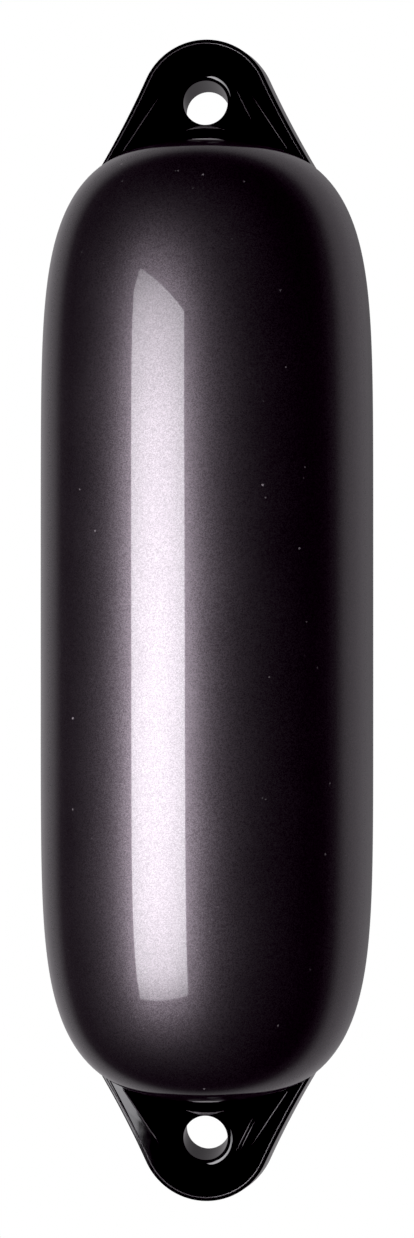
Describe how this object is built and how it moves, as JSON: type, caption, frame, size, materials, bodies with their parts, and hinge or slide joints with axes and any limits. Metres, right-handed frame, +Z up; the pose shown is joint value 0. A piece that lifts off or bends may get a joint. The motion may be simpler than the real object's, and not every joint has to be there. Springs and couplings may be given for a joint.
{
  "type": "pneumatic fender",
  "caption": "Inflatable cylindrical boat fender: a hollow pearl-black vinyl body with domed ends, a black rope eye moulded into each end, and an inflation valve.",
  "frame": {"origin": "middle of the fender, on the axis of its body", "axes": "+Z up along the body as it hangs, -Y the front face shown in the picture, rope holes along Y, valve on the +Y side"},
  "size_m": [0.1904, 0.1904, 0.6646],
  "materials": {
    "body_vinyl": "glossy pearl vinyl, violet black with a fine metallic grain",
    "eye_vinyl": "glossy solid black vinyl",
    "valve_brass": "turned brass, slightly dulled",
    "screw_nylon": "satin black nylon",
    "gasket_rubber": "matt black rubber"
  },
  "bodies": {
    "root": {"body_shell": "body_vinyl", "upper_rope_eye": "eye_vinyl", "lower_rope_eye": "eye_vinyl", "valve_bush": "valve_brass", "valve_screw": "screw_nylon", "valve_gasket": "gasket_rubber"}
  },
  "joints": []
}
